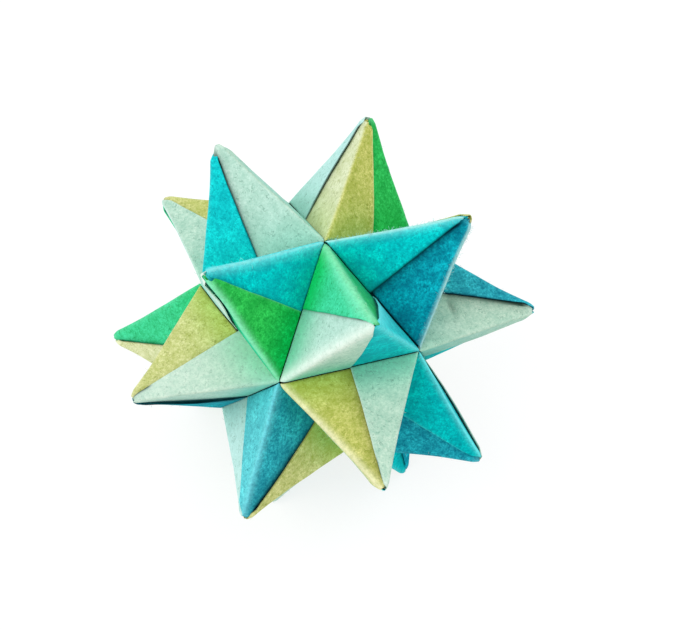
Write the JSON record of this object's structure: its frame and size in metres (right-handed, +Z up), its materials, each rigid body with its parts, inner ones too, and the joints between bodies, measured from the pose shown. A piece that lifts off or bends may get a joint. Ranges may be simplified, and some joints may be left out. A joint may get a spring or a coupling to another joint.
{
  "type": "modular origami star",
  "caption": "Spiky star ball of folded paper units whose tabs slide into each other's pockets; stands on its points as a table ornament.",
  "frame": {"origin": "on the table surface, under the middle of the star, in the plane of the five tips that it stands on", "axes": "+Z up along a five-fold axis through the lowest and the highest five-way corner; one spike of the upper ring points to -Y, the front"},
  "size_m": [0.0834, 0.0876, 0.0712],
  "materials": {
    "turquoise_paper": "matt dyed craft paper, turquoise, soft fibrous surface",
    "teal_paper": "matt dyed craft paper, deep teal blue, soft fibrous surface",
    "green_paper": "matt dyed craft paper, leaf green, soft fibrous surface",
    "olive_paper": "matt dyed craft paper, yellow olive with darker fibres",
    "mint_paper": "matt dyed craft paper, pale mint, soft fibrous surface"
  },
  "bodies": {
    "root": {"crown_unit_1": "green_paper", "crown_unit_2": "turquoise_paper", "crown_unit_3": "olive_paper", "crown_unit_4": "mint_paper", "crown_unit_5": "turquoise_paper", "shoulder_unit_1": "mint_paper", "shoulder_unit_2": "teal_paper", "shoulder_unit_3": "green_paper", "shoulder_unit_4": "mint_paper", "shoulder_unit_5": "mint_paper", "belt_unit_1": "olive_paper", "belt_unit_2": "turquoise_paper", "belt_unit_3": "mint_paper", "belt_unit_4": "turquoise_paper", "belt_unit_5": "teal_paper", "belt_unit_6": "turquoise_paper", "belt_unit_7": "olive_paper", "belt_unit_8": "green_paper", "belt_unit_9": "olive_paper", "belt_unit_10": "teal_paper", "skirt_unit_1": "teal_paper", "skirt_unit_2": "green_paper", "skirt_unit_3": "green_paper", "skirt_unit_4": "teal_paper", "skirt_unit_5": "mint_paper", "foot_unit_1": "turquoise_paper", "foot_unit_2": "olive_paper", "foot_unit_3": "teal_paper", "foot_unit_4": "olive_paper", "foot_unit_5": "green_paper"}
  },
  "joints": []
}
